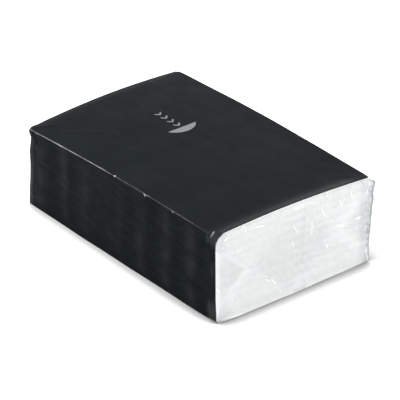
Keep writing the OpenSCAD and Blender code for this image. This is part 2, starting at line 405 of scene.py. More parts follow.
def ring(x, inset):
    """Points round the pack at x, and the ways out from them, from the front bottom corner on.
    Each edge runs from the middle of one rounded corner to the middle of the next."""
    radius = max(EDGE_R - inset, MIN_R)
    side, low = HALF_W - inset - radius, inset + radius
    high = [top_height(x, y) - low for y in (side, -side)]
    centres = [(-side, low), (side, low), (side, high[0]), (-side, high[1])]
    places, outs, edges = [], [], []
    for edge, cells in enumerate(EDGE_CELLS):
        start, end = centres[edge], centres[(edge + 1) % 4]
        middle = math.radians(225 + 90 * edge)
        flat = middle + math.pi / 4
        steps = [(start, middle + math.pi / 4 * i / ARC_CELLS) for i in range(ARC_CELLS)]
        for i in range(cells):
            t = i / cells
            steps.append(((start[0] + (end[0] - start[0]) * t, start[1] + (end[1] - start[1]) * t), flat))
        steps += [(end, flat + math.pi / 4 * i / ARC_CELLS) for i in range(ARC_CELLS)]
        for n, (centre, a) in enumerate(steps):
            y, z = centre[0] + radius * math.cos(a), centre[1] + radius * math.sin(a)
            if edge == TOP and ARC_CELLS <= n < ARC_CELLS + cells:
                z = top_height(x, y) - inset
            places.append((x, y, z))
            outs.append((0.0, math.cos(a), math.sin(a)))
            edges.append(edge)
    return np.array(places), np.array(outs), np.array(edges)


def near_path(a, b, path):
    """Distance of places from a path of straight lines."""
    best = np.full(np.broadcast(a, b).shape, np.inf)
    for (a0, b0), (a1, b1) in zip(path, path[1:]):
        da, db = a1 - a0, b1 - b0
        t = np.clip(((a - a0) * da + (b - b0) * db) / (da * da + db * db), 0, 1)
        best = np.minimum(best, np.hypot(a - a0 - t * da, b - b0 - t * db))
    return best


# each crease on a face is a path, its height and its breadth
FRONT_CREASES = [
    ([(-38.6, 22.6), (-36.6, 20.6), (-35.2, 18.9)], 0.16, 0.35),
    ([(-38.9, 14.0), (-37.9, 9.0), (-38.2, 3.0)], 0.14, 0.4),
    ([(-37.6, 21.8), (-37.2, 16.0), (-37.5, 11.0)], 0.1, 0.35),
    ([(37.9, 23.6), (37.6, 20.5), (38.1, 17.0)], 0.12, 0.35),
    ([(38.3, 9.0), (37.7, 5.0), (38.4, 1.5)], 0.16, 0.4),
    ([(-31.8, 2.2), (-12.0, 1.3), (8.0, 1.9)], 0.06, 0.35),
    ([(-6.0, 1.1), (14.0, 2.0), (31.0, 1.2)], 0.07, 0.3),
]
TOP_CREASES = [
    ([(-24.0, -15.6), (-20.8, -11.7), (-12.9, -11.8), (-11.0, -11.3)], 0.05, 0.5),
    ([(-29.5, -20.0), (-27.0, -17.6)], 0.05, 0.5),
    ([(-38.2, -23.0), (-35.0, -19.5)], 0.08, 0.5),
    ([(37.5, 22.0), (34.8, 17.5)], 0.06, 0.6),
]
# how glossy the pinched ridge is along the near edge, and all along the rear one
EDGE_PLACES = (
    -39, -37.5, -36.8, -36, -34, -14, -12.2, -11.6, -11, -6, -1,
    0.3, 0.8, 1.6, 10, 12.6, 13.2, 14, 26, 32, 36,
)
EDGE_GLOSS = (
    0.7, 0.8, 0.1, 1, 1, 1, 0.9, 1, 0.9, 0.7, 0.3,
    1, 1, 0.25, 0.25, 0.6, 0.6, 0.3, 0.25, 0.2, 0.08,
)
REAR_EDGE_GLOSS = 0.12
# where the film of the long side shines more: the middle, strength and breadth of each band
SHEEN_BANDS = [
    (-38.7, 0.42, 0.8), (-34.4, 0.11, 1.8), (-23.6, 0.09, 1.7), (-12.6, 0.08, 3.0), (-4.3, 0.06, 1.6),
    (9.2, 0.1, 1.5), (20.2, 0.11, 1.6), (30.2, 0.13, 2.1), (38.8, 0.28, 0.6),
]
# how the top shines towards the +X end's edge: by the distance in from it
END_SHEEN = ((-0.3, 0.0, 0.8, 1.6, 2.6, 3.8, 6.0), (0.8, 0.56, 0.5, 0.22, 0.1, 0.05, 0.035))
BRIGHT_CORNER = (39.2, -24.6, 24.2)
# how pale the ink of the crease is painted along the edge: partly rubbed ink, partly a painted highlight on
# the ridge
RUBBED_AND_HIGHLIGHT_PLACES = (-38, -34, -30, -27, -25, -22, -18, -13, -10, -6, -3, 1, 9, 26, 34)
RUBBED_AND_HIGHLIGHT = (0.2, 0.36, 0.4, 0.8, 0.95, 0.55, 0.25, 0.06, 0.5, 0.45, 0.1, 0.05, 0.06, 0.12, 0.03)
# glints painted pale on the ink at the crease and its near corner, each from a place to a place, its breadth
# and strength
PAINTED_EDGE_GLINTS = [
    ((37.6, -23.5, 24.63), (37.84, -24.2, 24.2), 0.34, 0.75),
    ((37.84, -24.2, 24.2), (37.9, -24.7, 23.7), 0.28, 0.35),
    ((36.6, -25.02, 23.7), (36.6, -25.02, 21.4), 0.09, 0.17),
    ((-1.1, -24.85, 24.4), (-0.8, -24.83, 24.38), 0.5, 1.0),
    ((11.6, -25.0, 24.45), (12.0, -25.0, 24.2), 0.42, 1.0),
    ((22.9, -24.98, 24.5), (23.4, -24.97, 24.45), 0.45, 0.5),
]
# upright soft pleats of the long side: their middle, height and breadth
PLEATS = [
    (-31.6, 0.36, 4.3), (-21.6, 0.17, 2.0), (-13.0, 0.14, 2.6), (-6.0, 0.07, 2.4), (2.6, 0.2, 2.8),
    (12.4, 0.24, 2.7), (22.4, 0.3, 3.0), (32.4, 0.27, 2.8), (37.8, 0.08, 1.2),
]


def creased(a, b, creases):
    """Height of the creases at places on a face."""
    total = np.zeros(np.broadcast(a, b).shape)
    for path, height, breadth in creases:
        total += height * np.exp(-((near_path(a, b, path) / breadth) ** 2))
    return total


def puckered(points, edges):
    """How far the printed film stands out from its plain shape."""
    x, y, z = points[..., 0], points[..., 1], points[..., 2]
    lift = 0.03 * ripple(x, y + z, 11, 17)
    lift += 0.012 * ripple(x * 0.35, z * 2.2 + y, 12, 5)
    front = edges == FRONT
    wander = 0.5 * ripple(z, z * 0, 13, 14)
    pleats = sum(h * np.exp(-(((x - c - wander) / w) ** 2)) for c, h, w in PLEATS)
    hem = smooth(z / 4) * smooth((CORNER_H - z) / 5)
    streaks = 0.018 * ripple(x * 0.16, z * 1.7, 14, 4)
    lift += np.where(front, (pleats * hem) + creased(x, z, FRONT_CREASES) + streaks, 0)
    rear_pleats = sum(h * np.exp(-(((x + 0.8 * c - wander) / w) ** 2)) for c, h, w in PLEATS)
    lift += np.where(edges == REAR, rear_pleats * hem + streaks, 0)
    lift += np.where(edges == TOP, creased(x, y, TOP_CREASES), 0)
    lap = 0.12 * smooth((y + LAP_W / 2) / 0.5) - 0.05 * smooth((y - LAP_W / 2) / 1.2)
    under = np.minimum(1.5 * lift - 0.16 + lap, 0) * smooth((HALF_W - np.abs(y)) / 3)
    return np.where(edges == BOTTOM, under, lift)


def on_edge(outs):
    """1 along the middle of the long edges of the top, and 0 away from them."""
    tilt = np.degrees(np.arctan2(np.abs(outs[..., 1]), outs[..., 2]))
    return smooth(1 - np.abs(tilt - 45) / 40)


def long_crease(points, outs):
    """The sharp ridge pinched up along the long edges of the top."""
    x = points[..., 0]
    near = (0.19 + 0.07 * ripple(x, x * 0, 15, 9)) * (1 - 0.7 * smooth((x - 30) / 6))
    return on_edge(outs) * np.where(points[..., 1] < 0, near, 0.04)


def station(x, inset=0.0, turn=0.0):
    """The film's points round the pack at x, where the end's rounding has turned so far."""
    points, outs, edges = ring(x, inset)
    lift = puckered(points, edges) + long_crease(points, outs)
    ease = smooth((HALF_L - END_R - np.abs(x)) / 3) if turn == 0 else 0.0
    lift = lift * (0.35 + 0.65 * ease) * math.cos(turn)
    return blunted(points + outs * lift[:, None])


def rounding(way):
    """The rounding of one end, in rows of equal turn from the long faces to the end's plane."""
    turns = [math.pi / 2 * i / ROUND_ROWS for i in range(ROUND_ROWS + 1)]
    return np.array([
        station(way * (flat_half + END_R * math.sin(a)), END_R * (1 - math.cos(a)), a) for a in turns
    ])


def turned_to(rounded, turns):
    """Points of an end's rounding at each column's own turn."""
    at = turns / (math.pi / 2) * ROUND_ROWS
    first = np.clip(at.astype(int), 0, ROUND_ROWS - 1)
    share = (at - first)[:, None]
    columns = np.arange(rounded.shape[1])
    return (1 - share) * rounded[first, columns] + share * rounded[first + 1, columns]


flat_half = HALF_L - END_R
plain_outs = ring(0.0, 0.0)[1]
at_foot_or_rear = smooth((np.maximum(-plain_outs[:, 2], plain_outs[:, 1]) - 0.2) / 0.7)
print_turns = SIDE_PRINT_TURN + (FOOT_PRINT_TURN - SIDE_PRINT_TURN) * at_foot_or_rear
ends = {way: rounding(way) for way in (-1, 1)}
rows = [turned_to(ends[-1], print_turns * i / PRINT_ROWS) for i in range(PRINT_ROWS, 0, -1)]
rows += [station(flat_half * (2 * i / LENGTH_CELLS - 1)) for i in range(LENGTH_CELLS + 1)]
rows += [turned_to(ends[1], print_turns * i / PRINT_ROWS) for i in range(1, PRINT_ROWS + 1)]
plain_grid = np.array(rows)
body_grid = leaned(plain_grid)


def stroke_group():
    """Node group: a mask of the given strength near the straight line between two places, in metres."""
    group, nodes, given = new_group("stroke", [
        ("Place", "NodeSocketVector", (0.0, 0.0, 0.0)),
        ("Start", "NodeSocketVector", (0.0, 0.0, 0.0)),
        ("End", "NodeSocketVector", (0.0, 0.0, 0.0)),
        ("Breadth", "NodeSocketFloat", 0.0),
        ("Strength", "NodeSocketFloat", 0.0),
    ], "Mask")
    way = vectored(nodes, "SUBTRACT", given["End"], given["Start"])
    from_start = vectored(nodes, "SUBTRACT", given["Place"], given["Start"])
    along = vectored(nodes, "DOT_PRODUCT", from_start, way, result="Value")
    whole = vectored(nodes, "DOT_PRODUCT", way, way, result="Value")
    share = reckoned(nodes, "DIVIDE", along, whole, clamp=True)
    run_on = add_node(nodes, "ShaderNodeVectorMath", {0: way, "Scale": share}, operation="SCALE")
    off = vectored(nodes, "DISTANCE", from_start, run_on.outputs["Vector"], result="Value")
    ratio = reckoned(nodes, "DIVIDE", off, given["Breadth"])
    mask = mapped(nodes, ratio, 0.15, 0.75, given["Strength"], 0.0, interpolation_type="SMOOTHSTEP")
    add_node(nodes, "NodeGroupOutput", {"Mask": mask})
    return group


stroke = stroke_group()


def strokes(nodes, lines, seen_along=(1.0, 1.0, 1.0)):
    """One mask of many strokes, each from a place to a place in mm, its breadth and strength."""
    place = vectored(nodes, "MULTIPLY", nodes.new("ShaderNodeTexCoord").outputs["Object"], seen_along)
    total = None
    for start, end, breadth, strength in lines:
        mask = add_node(nodes, "ShaderNodeGroup", {
            "Place": place,
            "Start": Vector(start) * MM,
            "End": Vector(end) * MM,
            "Breadth": breadth * MM,
            "Strength": strength,
        }, node_tree=stroke).outputs["Mask"]
        total = mask if total is None else reckoned(nodes, "MAXIMUM", total, mask)
    return total


def painted(nodes, name):
    """A value that the mesh keeps for each of its points."""
    return add_node(nodes, "ShaderNodeAttribute", attribute_name=name).outputs["Fac"]


def paint(piece, masks):
    """Keeps values for each point of a piece's mesh, by name."""
    for name, values in masks.items():
        mask = piece.data.attributes.new(name, "FLOAT", "POINT")
        mask.data.foreach_set("value", np.ravel(values))


black_film, nodes, shader = new_material(
    "black_film", Specular_IOR_Level=0.03, Coat_Roughness=0.16, Coat_IOR=1.5
)
tone = add_node(nodes, "ShaderNodeMix", {
    "Factor": painted(nodes, "streaky"),
    "A": spots(nodes, 14.0, 0.2, 0.8),
    "B": spots(nodes, 1.2, -0.5, 1.4, (0.22, 1.0, 1.0)),
}, data_type="FLOAT").outputs["Result"]
ink = colour_between(nodes, tone, (0.0044, 0.0072, 0.0083), (0.0076, 0.0112, 0.0126))
# ink painted pale at the glinting nicks and along the crease: painted highlights, with some rubbed ink on the
# crease
pale = reckoned(nodes, "MAXIMUM", strokes(nodes, PAINTED_EDGE_GLINTS), painted(nodes, "rubbed_and_highlight"))
feed(shader, {
    "Base Color": colour_between(nodes, pale, ink, (0.5, 0.53, 0.55)),
    "Roughness": spots(nodes, 4.0, 0.38, 0.5),
    "Coat Weight": painted(nodes, "worn"),
    "Normal": bumped(nodes, spots(nodes, 2.2, 0.0, 1.0), 0.012),
})


def sheen(x, z):
    """How much the film of the long side shines, by its bands and at its two ends."""
    total = sum(strength * np.exp(-(((x - c) / breadth) ** 2)) for c, strength, breadth in SHEEN_BANDS)
    total = total * smooth(0.6 + 0.35 * ripple(x * 0.5, z, 16, 7)) + 0.012
    window_corner = 0.55 * smooth((x - 36) / 2) * smooth((7 - z) / 3)
    far_corner = 0.4 * smooth((-37 - x) / 1.5) * smooth((18 - z) / 6)
    return np.maximum(total, window_corner + far_corner)


points = body_grid.reshape(-1, 3)
faces = grid_faces(*body_grid.shape[:2], closed=True, flip=faces_inward(body_grid))
printed_film = new_piece("printed_film", points, faces, black_film)
x, y, z = plain_grid[..., 0], plain_grid[..., 1], plain_grid[..., 2]
facing_up, facing_side = plain_outs[:, 2] > 0.9, np.abs(plain_outs[:, 1]) > 0.9
out_from_end = flat_half - np.abs(x)
ridge = on_edge(plain_outs) * np.ones(x.shape)
edge_gloss = ridge * np.where(y < 0, np.interp(x, EDGE_PLACES, EDGE_GLOSS), REAR_EDGE_GLOSS)
end_share = np.where(x > 0, 1.0, 0.4)
rear_share = 1 - 0.65 * smooth((y - 17) / 5)
top_gloss = np.interp(out_from_end, *END_SHEEN) * end_share * rear_share * facing_up
to_corner = np.linalg.norm(plain_grid - np.array(BRIGHT_CORNER), axis=-1)
corner_gloss = 0.9 * smooth((3.2 - to_corner) / 2.4)
patchy = 0.6 + 0.4 * smooth(0.55 + 0.35 * ripple(x, z * 0, 17, 2.5))
paint(printed_film, {
    "worn": np.maximum.reduce([edge_gloss, top_gloss, sheen(x, z) * facing_side, corner_gloss]),
    "streaky": facing_side * np.ones(x.shape),
    "rubbed_and_highlight": ridge ** 2 * np.interp(x, RUBBED_AND_HIGHLIGHT_PLACES, RUBBED_AND_HIGHLIGHT) * patchy * (y < 0),
})
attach(printed_film, "root")
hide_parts("black_print")

# The clear ends of the same film. At each end the tube's two sides are tucked in first,
# the bottom flap is folded up over them and the top flap down over it, and a heated
# plate seals the layers where they meet. The film has no ink there, but for the print's edge.
# rows over the rest of the ends' rounding, past the print
CAP_TURNS = 3
# painted highlights: white glints where the end's creases catch the light, each from a place over it
# to a place (y, z), its breadth and its strength
PAINTED_GLINT_TABLE = [
    ((18.9, 21.9), (19.4, 19.5), 0.34, 0.9), ((15.1, 20.8), (15.5, 19.8), 0.34, 0.8),
    ((15.5, 19.8), (16.1, 18.7), 0.45, 0.9), ((10.9, 24.5), (11.0, 23.3), 0.3, 0.5),
    ((8.4, 24.2), (9.8, 23.7), 0.4, 0.4), ((4.6, 23.8), (7.8, 22.7), 1.2, 0.15),
    ((0.8, 23.4), (1.9, 23.1), 0.4, 0.7), ((9.1, 20.3), (10.1, 18.6), 0.38, 0.7),
    ((10.1, 18.6), (12.3, 16.2), 0.4, 0.3), ((12.3, 16.2), (14.0, 14.1), 0.4, 0.3),
    ((14.0, 14.1), (16.7, 13.0), 0.42, 0.7), ((16.7, 13.0), (18.9, 12.2), 0.36, 0.35),
    ((20.9, 13.6), (22.1, 13.5), 0.6, 1.0), ((-0.2, 19.1), (0.3, 18.2), 0.35, 0.8),
    ((0.3, 18.2), (1.3, 16.5), 0.4, 0.8), ((6.1, 17.5), (5.8, 14.9), 1.0, 0.4),
    ((-0.3, 14.1), (0.1, 13.3), 0.45, 0.8), ((0.1, 13.3), (0.4, 12.6), 0.35, 0.7),
    ((0.2, 11.9), (0.7, 9.7), 0.5, 0.25), ((10.2, 11.2), (10.8, 9.9), 0.3, 0.7),
    ((10.8, 9.9), (11.4, 8.7), 0.36, 0.85), ((11.1, 21.0), (11.4, 20.0), 0.7, 0.3),
    ((-21.8, 22.4), (-20.9, 22.7), 0.45, 0.9), ((-20.9, 22.7), (-17.0, 23.2), 0.4, 0.25),
    ((-14.1, 22.7), (-11.6, 22.6), 0.3, 0.5), ((-11.6, 22.6), (-9.5, 22.3), 0.42, 0.8),
    ((-16.1, 24.0), (-15.8, 24.0), 0.6, 0.5), ((-15.2, 23.4), (-15.2, 22.7), 0.35, 0.6),
    ((-18.3, 17.5), (-17.0, 17.9), 1.5, 0.25), ((-12.9, 11.0), (-11.6, 10.8), 1.1, 0.3),
    ((-9.2, 7.8), (-8.1, 7.2), 0.4, 0.5), ((-8.9, 6.8), (-7.7, 5.8), 0.34, 0.6),
    ((-6.9, 5.9), (-5.9, 4.7), 0.5, 1.0), ((-5.5, 4.1), (-4.5, 2.2), 0.45, 0.3),
    ((-19.7, 5.2), (-19.5, 5.0), 0.45, 1.0), ((-24.2, 9.5), (-23.4, 8.5), 0.5, 0.6),
    ((-22.7, 0.9), (-17.0, 0.5), 0.45, 0.3),
]
PAINTED_END_GLINTS = [((0, *start), (0, *end), breadth, strength) for start, end, breadth, strength in PAINTED_GLINT_TABLE]
# the ink runs on over the near edge of the +X end, and over its blunt corner to an arc
# round this centre, both with a slightly soft border
INK_EDGE, EDGE_BLUR = 24.55, 0.06
INK_CENTRE, INK_ARC, ARC_BLUR = (0.0, -19.4, 19.6), 5.6, 0.08


def shader_mix(nodes, share, first, second):
    """A shader that goes with share from the first to the second."""
    return add_node(nodes, "ShaderNodeMixShader", {"Fac": share, 1: first, 2: second}).outputs["Shader"]


clear_film, nodes, shader = new_material(
    "clear_film", Specular_IOR_Level=0.03, Roughness=0.45, Coat_Weight=0.9, Coat_Roughness=0.2
)
# painted glints: white strokes across the end's film that whiten its haze where its creases would catch the
# light
painted_glints = strokes(nodes, PAINTED_END_GLINTS, seen_along=(0.0, 1.0, 1.0))
# the haze's colour, greyed by the painted shade
hazy = colour_between(nodes, painted(nodes, "painted_shade"), (0.94, 0.943, 0.946), (0.36, 0.39, 0.4))
crinkle = bumped(nodes, spots(nodes, 1.6, 0.0, 1.0), 0.03)
see_through = add_node(nodes, "ShaderNodeBsdfTransparent", {"Color": (0.995, 0.998, 1.0, 1)})
glint_whitened = colour_between(nodes, painted_glints, hazy, (1.0, 1.0, 1.0))
haze = add_node(nodes, "ShaderNodeBsdfDiffuse", {"Color": glint_whitened})
gloss = add_node(nodes, "ShaderNodeBsdfGlossy", {"Color": (1, 1, 1, 1), "Roughness": 0.2, "Normal": crinkle})
fresnel = add_node(nodes, "ShaderNodeFresnel", {"IOR": 1.25, "Normal": crinkle})
whiter = reckoned(nodes, "MULTIPLY_ADD", painted_glints, 0.45, painted(nodes, "milk"))
uneven = reckoned(nodes, "ADD", spots(nodes, 2.5, -0.04, 0.04), whiter, clamp=True)
hazed = shader_mix(nodes, uneven, see_through.outputs["BSDF"], haze.outputs["BSDF"])
mirrored = shader_mix(nodes, fresnel.outputs["Fac"], hazed, gloss.outputs["BSDF"])

mottle = spots(nodes, 3.0, 0.0, 1.0)
edge_ink = colour_between(nodes, mottle, (0.006, 0.0085, 0.0095), (0.011, 0.0135, 0.0145))
feed(shader, {"Base Color": edge_ink})
place = nodes.new("ShaderNodeTexCoord").outputs["Object"]
offset = vectored(nodes, "SUBTRACT", place, Vector(INK_CENTRE) * MM)
outward = vectored(nodes, "MULTIPLY", offset, (1.0, -1.0, 1.0))
parts = add_node(nodes, "ShaderNodeSeparateXYZ", {"Vector": outward}).outputs
in_corner = reckoned(nodes, "GREATER_THAN", reckoned(nodes, "MINIMUM", parts["Y"], parts["Z"]), 0.0)
flat_way = vectored(nodes, "MULTIPLY", outward, (0.0, 1.0, 1.0))
from_centre = vectored(nodes, "LENGTH", flat_way, result="Value")
past_arc = mapped(nodes, from_centre, (INK_ARC - ARC_BLUR) * MM, (INK_ARC + ARC_BLUR) * MM)
strip_start = INK_EDGE + INK_CENTRE[1]
past_edge = mapped(nodes, parts["Y"], (strip_start - EDGE_BLUR) * MM, (strip_start + EDGE_BLUR) * MM)
over_corner = reckoned(nodes, "MULTIPLY", past_arc, in_corner)
on_window = reckoned(nodes, "GREATER_THAN", parts["X"], 0.0)
inked = reckoned(nodes, "MULTIPLY", reckoned(nodes, "MAXIMUM", over_corner, past_edge), on_window)
feed(nodes["Material Output"], {"Surface": shader_mix(nodes, inked, mirrored, shader.outputs["BSDF"])})

# the flaps' slanted edges (y, z)
SLANT = [(-24.6, 20.6), (-22.9, 18.9), (-18.3, 15.5), (-14.2, 11.7), (-9.05, 7.85), (-6.5, 5.45), (-4.6, 2.4)]
FAR_SLANT = [(-y + 0.9 * (1 - abs(y) / 25), z + 0.5) for y, z in SLANT]
LOW_NEAR_EDGE = [(-24.9, 0.4), (-23.4, 4.2), (-13.0, 12.9), (-4.4, 20.6)]
LOW_FAR_EDGE = [(24.9, 0.4), (23.4, 4.4), (13.2, 13.2), (4.6, 20.9)]
# the two side tucks' free edges, with the gap between them, where a darker strip of shade is painted
NEAR_TUCK, FAR_TUCK, TUCK_LEAN = 0.0, 3.6, 0.03
# the mesh's cells on the end shown and on the hidden one
WINDOW_CELL, HIDDEN_CELL = 0.34, 0.6
# how far each layer stands out from the plane of the end, and how milky each is
TUCK_STAND, LOW_FLAP_STAND, TOP_FLAP_STAND = -0.04, -0.01, 0.02
RIM_MILK, TUCK_MILK, FLAP_MILK, FIN_MILK = 0.56, 0.52, 0.36, 0.85


def coons(bottom, top, left, right):
    """A patch of points between four edges that share their corners."""
    bottom, top, left, right = (np.asarray(e, float) for e in (bottom, top, left, right))
    u = np.linspace(0, 1, len(bottom))[None, :, None]
    v = np.linspace(0, 1, len(left))[:, None, None]
    across = (1 - v) * bottom[None] + v * top[None]
    along = (1 - u) * left[:, None] + u * right[:, None]
    low_corners = (1 - u) * (1 - v) * bottom[0] + u * (1 - v) * bottom[-1]
    high_corners = (1 - u) * v * top[0] + u * v * top[-1]
    return across + along - (low_corners + high_corners)


def stretch_of(points, count):
    """Points spaced evenly along a path."""
    points = np.asarray(points, float)
    way = np.concatenate([[0], np.cumsum(np.linalg.norm(np.diff(points, axis=0), axis=1))])
    at = np.linspace(0, way[-1], count)
    return np.stack([np.interp(at, way, points[:, k]) for k in range(points.shape[1])], axis=1)


def end_relief(y, z, seed):
    """How far the film of an end stands out at places on it."""
    edge_room = smooth((HALF_W - 0.6 - np.abs(y)) / 2) * smooth((z - 0.6) / 2) * smooth((24.8 - z) / 1.2)
    return (0.04 * ripple(y, z, seed, 9) + 0.014 * ripple(y, z, seed + 1, 3)) * edge_room


def painted_end_shade(y, z):
    """Painted shade on an end's film: in crumples by its edges, between the tucks, past the flaps and along a
    fold.
    """
    crumple_shade = smooth(0.25 + 0.6 * ripple(y * 1.5, z, 32, 1.7)) * smooth((24 - z) / 3)
    far_edge = 0.25 * smooth((y - 22.9) / 1.3) * crumple_shade * (1 + smooth((14 - z) / 8))
    far_edge += 0.06 * smooth((y - 21.5) / 3)
    patch = 0.1 * np.exp(-((near_path(y, z, [(-22.8, 15), (-22, 10)]) / 1.0) ** 2))
    near_strip = 0.05 * smooth((-y - 20.6) / 0.7) + patch
    near_tuck, far_tuck = NEAR_TUCK + TUCK_LEAN * (z - 13), FAR_TUCK + TUCK_LEAN * (z - 13)
    shaded = 0.13 + 0.2 * smooth((z - 17) / 3)
    gap = shaded * smooth((y - near_tuck + 0.7) / 0.9) * smooth((far_tuck - y) / 0.16)
    gap *= smooth((23.2 - z) / 0.8)
    slant_at = np.interp(z, *np.array(FAR_SLANT[::-1]).T[::-1])
    flap_at = np.maximum(np.interp(z, *np.array(LOW_FAR_EDGE).T[::-1]), slant_at)
    bare = 0.22 * smooth((y - flap_at) / 4) + 0.36 * smooth((-flap_at - y) / 2) * smooth((24 + y) / 5)
    fold_shade = 0.07 * np.exp(-((near_path(y, z, [(-18.5, 16.4), (-17, 15.2), (-13.5, 11.8)]) / 0.7) ** 2))
    return np.clip(0.08 + far_edge + near_strip + gap + bare + fold_shade, 0, 1)


# the fin's width by its height
FIN_HEIGHTS = (0.0, 5.0, 7.1, 8.9, 11.3, 15.2, 19.3, 22.0, 23.5, 24.2)
FIN_WIDTHS = (0.4, 0.5, 0.65, 0.85, 1.0, 1.2, 1.4, 1.6, 1.75, 1.7)


def end_film(way):
    """The clear film of one end: the rest of the rounding, the two tucks, the two flaps and the fin."""
    points, faces = [], []
    masks = {"milk": [], "painted_shade": []}
    cell = WINDOW_CELL if way > 0 else HIDDEN_CELL

    def add(grid, milk, painted_shade=0.0, closed=False):
        """Adds a patch of film, with how milky it is and how much more painted shade it has than the end's
        own.
        """
        start = sum(len(p) for p in points)
        points.append(leaned(grid).reshape(-1, 3))
        faces.extend(grid_faces(*grid.shape[:2], start, closed, faces_inward(grid)))
        y, z = way * grid[..., 1], grid[..., 2]
        by_side, by_foot = smooth((np.abs(y) - 21.8) / 2.6), smooth((1.9 - z) / 1.3)
        # painted shade, deeper towards the end's sides and its foot
        side_shade = 0.15 * smooth((np.abs(y) - 20) / 5)
        masks["milk"].extend(np.clip(milk + 0.4 * np.maximum(by_side, by_foot), 0, 0.96).ravel())
        masks["painted_shade"].extend(np.clip(painted_end_shade(y, z) + painted_shade + side_shade + 0.15 * by_foot, 0, 1).ravel())

    def cells(path):
        """How many points a path needs."""
        way_along = np.linalg.norm(np.diff(np.asarray(path, float), axis=0), axis=1).sum()
        return max(int(way_along / cell) + 1, 3)

    turns = [print_turns + (math.pi / 2 - print_turns) * i / CAP_TURNS for i in range(CAP_TURNS + 1)]
    rims = np.array([turned_to(ends[way], turn) for turn in turns])
    add(rims, RIM_MILK, closed=True)
    rim = ring(way * HALF_L, END_R)[0]
    starts = np.cumsum([0] + [c + 2 * ARC_CELLS for c in EDGE_CELLS])
    bottom, rear, top, front = (
        np.concatenate([rim[starts[e]:starts[e + 1]], rim[starts[(e + 1) % 4]][None]]) for e in range(4)
    )
    seed = 20 if way > 0 else 40
    end_x = way * HALF_L

    def on_end(path):
        return [(end_x, y, z) for y, z in path]

    def laid(grid, stand, root_axis):
        """A patch laid over the layers under it, at its stand from the rim, eased in from its root."""
        y, z = grid[..., 1], grid[..., 2]
        rows = np.linspace(0, 1, grid.shape[root_axis])
        ease = smooth((rows[:, None] if root_axis == 0 else rows[None]) / 0.05)
        grid = grid.copy()
        grid[..., 0] += way * (stand + end_relief(way * y, z, seed)) * ease
        return blunted(grid, -stand)

    def fade(grid, path, breadth):
        """1 on a patch and 0 at one of its edges, so that the film's haze thins out there."""
        return smooth(near_path(way * grid[..., 1], grid[..., 2], path) / breadth)

    # tucks
    for edge, free_y in ((front[::-1], NEAR_TUCK), (rear, FAR_TUCK)):
        edge = stretch_of(edge, cells(edge))
        free = np.stack([
            np.full(len(edge), end_x), free_y + TUCK_LEAN * (edge[:, 2] - 13), edge[:, 2]
        ], axis=1)
        across = cells([edge[0], free[0]])
        first, last = (stretch_of([edge[k], free[k]], across) for k in (0, -1))
        patch = coons(first, last, edge, free)
        add(laid(patch, TUCK_STAND, 1), TUCK_MILK)

    # bottom flap
    left_edge = stretch_of([bottom[0]] + on_end(LOW_NEAR_EDGE[1:]), int(24 / cell))
    right_edge = stretch_of([bottom[-1]] + on_end(LOW_FAR_EDGE[1:]), int(24 / cell))
    root = stretch_of(bottom, cells(bottom))
    free = stretch_of([left_edge[-1], right_edge[-1]], len(root))
    patch = laid(coons(root, free, left_edge, right_edge), LOW_FLAP_STAND, 0)
    thin = fade(patch, LOW_NEAR_EDGE, 4) * fade(patch, LOW_FAR_EDGE, 4) * smooth((20.5 - patch[..., 2]) / 5)
    add(patch, FLAP_MILK * thin)

    # top flap
    root = stretch_of(top[::-1], cells(top))
    left_edge = stretch_of([root[0]] + on_end(SLANT), int(26 / cell))
    right_edge = stretch_of([root[-1]] + on_end(FAR_SLANT), int(26 / cell))
    free = stretch_of([left_edge[-1], right_edge[-1]], len(root))
    patch = laid(coons(root, free, left_edge, right_edge), TOP_FLAP_STAND, 0)
    thin = fade(patch, FAR_SLANT, 5) * (0.15 + 0.85 * fade(patch, SLANT, 3))
    thin *= smooth((patch[..., 2] - 2.2) / 3)
    add(patch, FLAP_MILK * thin)

    # the fin of film pinched out of the edge between the end and the rear long side
    edge = blunted(rear[ARC_CELLS:-ARC_CELLS])
    heights = edge[:, 2]
    unevenness = 1 + 0.04 * ripple(heights, heights * 0, seed + 5, 5)
    widths = np.interp(heights, FIN_HEIGHTS, FIN_WIDTHS) * unevenness
    reach = np.linspace(0, 1, 9)[:, None]
    fin = edge[None] + 0 * reach[..., None]
    fin[..., 0] += way * 0.62 * widths[None] * reach
    wave = 0.05 * np.sin(3 * reach) * ripple(heights, heights * 0, 36, 4)
    fin[..., 1] += 0.79 * widths[None] * reach + wave
    fin[..., 2] -= 0.75 * reach * smooth((heights[None] - 19) / 5)
    # painted shade on the fin: darker towards its free border and at its top
    painted_fin_shade = 0.02 + 0.6 * smooth((reach - 0.45) / 0.35) + 0.1 * ripple(heights, heights * 0, 37, 2)[None]
    add(fin, FIN_MILK, painted_fin_shade + 0.45 * smooth((heights[None] - 22.9) / 0.7))
    return np.concatenate(points), faces, masks


end_points, end_faces, end_masks = [], [], {"milk": [], "painted_shade": []}
for way in (-1, 1):
    points, faces, masks = end_film(way)
    start = sum(len(p) for p in end_points)
    end_points.append(points)
    end_faces += [tuple(start + k for k in f) for f in faces]
    for name, values in masks.items():
        end_masks[name] += values
clear_ends = new_piece("clear_ends", np.concatenate(end_points), end_faces, clear_film)
paint(clear_ends, end_masks)
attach(clear_ends, "root")
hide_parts("film_wrapper")

# The silver print on the top: a half-moon that marks where the film is torn open, and a
# row of four small marks that points at it. It is one flat layer of ink on the black.
MOON_R, MOON_DEPTH, MOON_X, MOON_Y = 5.13, 2.7, -9.65, 3.33
MARKS, MARK_PITCH, MARK_SIZE, MARK_LINE = 4, 2.7, 2.0, 0.7
SILVER_LIFT = 0.03

